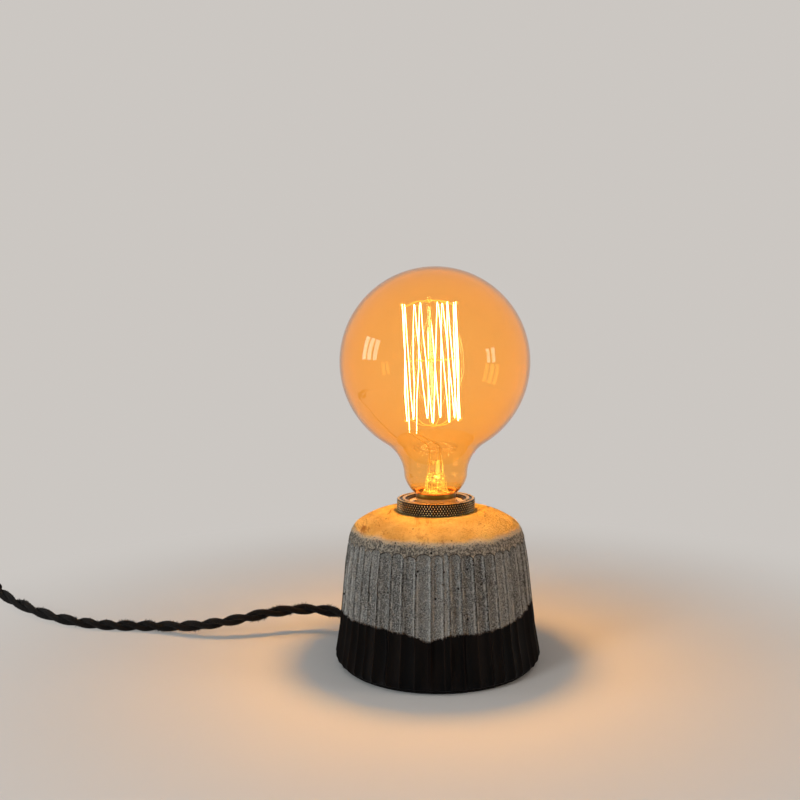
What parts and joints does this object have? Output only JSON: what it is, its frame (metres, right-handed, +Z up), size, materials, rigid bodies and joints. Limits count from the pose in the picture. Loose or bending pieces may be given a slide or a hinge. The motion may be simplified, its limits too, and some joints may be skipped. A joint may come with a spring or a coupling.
{
  "type": "table lamp",
  "caption": "Table lamp: fluted stoneware base with dipped foot, knurled ring on a screw holder, large round filament bulb, twisted cord with rocker switch and plug.",
  "frame": {"origin": "centre of the base's underside, on the table", "axes": "+Z up along the lamp's axis, +Y away from the viewer, the cord leaves towards -X and +Y"},
  "size_m": [0.5655, 0.2472, 0.2611],
  "materials": {
    "stoneware": "unglazed grey speckled stoneware, satin black glaze on the foot",
    "felt": "pressed felt",
    "black_rubber": "matte",
    "aged_brass": "antique, knurled",
    "holder_plastic": "satin",
    "porcelain": "glazed porcelain",
    "bright_brass": "plain",
    "steel": "zinc plated",
    "core_sleeve": "insulation",
    "cotton_cord": "braided cotton over two twisted cores",
    "black_plastic": "moulded",
    "rocker_plastic": "moulded",
    "tie_strap": "woven strap",
    "plated_pins": "nickel plated",
    "amber_glass": "amber, clear",
    "stem_glass": "clear",
    "cap_brass": "lacquered",
    "cap_glass": "black glass",
    "solder": "soft solder",
    "glowing_filament": "glowing when lit",
    "hook_wire": "fine wire"
  },
  "bodies": {
    "root": {"ceramic_base": "stoneware", "base_pad": "felt", "cord_grommet": "black_rubber", "holder_sleeve": "holder_plastic", "clamp_ring": "holder_plastic", "holder_cap": "holder_plastic", "holder_insert": "porcelain", "screw_shell": "bright_brass", "tip_spring": "bright_brass", "terminal_blocks": "bright_brass", "terminal_screws": "steel", "cord_grip": "holder_plastic", "grip_screw": "steel", "core_wires": "core_sleeve", "inner_cord": "cotton_cord", "cord_lead": "cotton_cord", "switch_base": "black_plastic", "switch_cover": "black_plastic", "rocker_pin": "steel", "switch_contacts": "bright_brass", "switch_screws": "steel", "cord_link": "cotton_cord", "cord_coil": "cotton_cord", "coil_tie": "tie_strap", "cord_tail": "cotton_cord", "plug_lower": "black_plastic", "plug_upper": "black_plastic", "plug_pins": "plated_pins", "plug_screw": "steel"},
    "ring": {"shade_ring": "aged_brass"},
    "bulb_foot": {"bulb_insulator": "cap_glass", "bulb_tip_contact": "solder"},
    "bulb": {"bulb_globe": "amber_glass", "bulb_cap": "cap_brass", "bulb_stem": "stem_glass", "bulb_rod": "stem_glass", "bulb_filament": "glowing_filament", "bulb_top_hooks": "hook_wire", "bulb_middle_hooks": "hook_wire", "bulb_bottom_hooks": "hook_wire", "bulb_leads": "hook_wire"},
    "rocker": {"switch_rocker": "rocker_plastic"}
  },
  "joints": [
    {"name": "bulb_rise", "type": "slide", "parent": "root", "child": "bulb_foot", "axis": [0, 0, 1], "range_m": [0, 0.0145]},
    {"name": "bulb_turn", "type": "hinge", "parent": "bulb_foot", "child": "bulb", "pos_m": [0, 0, 0.1], "axis": [0, 0, 1], "range_deg": [0, 1440]},
    {"name": "ring_turn", "type": "hinge", "parent": "root", "child": "ring", "pos_m": [0, 0, 0.104], "axis": [0, 0, 1], "range_deg": [0, 60]},
    {"name": "switch_rock", "type": "hinge", "parent": "root", "child": "rocker", "pos_m": [-0.414, 0.166, 0.016], "axis": [0, 1, 0], "range_deg": [-18, 0]}
  ],
  "couplings": [
    {"joint": "bulb_rise", "follows": "bulb_turn", "m_per_rad": 0.000576}
  ]
}
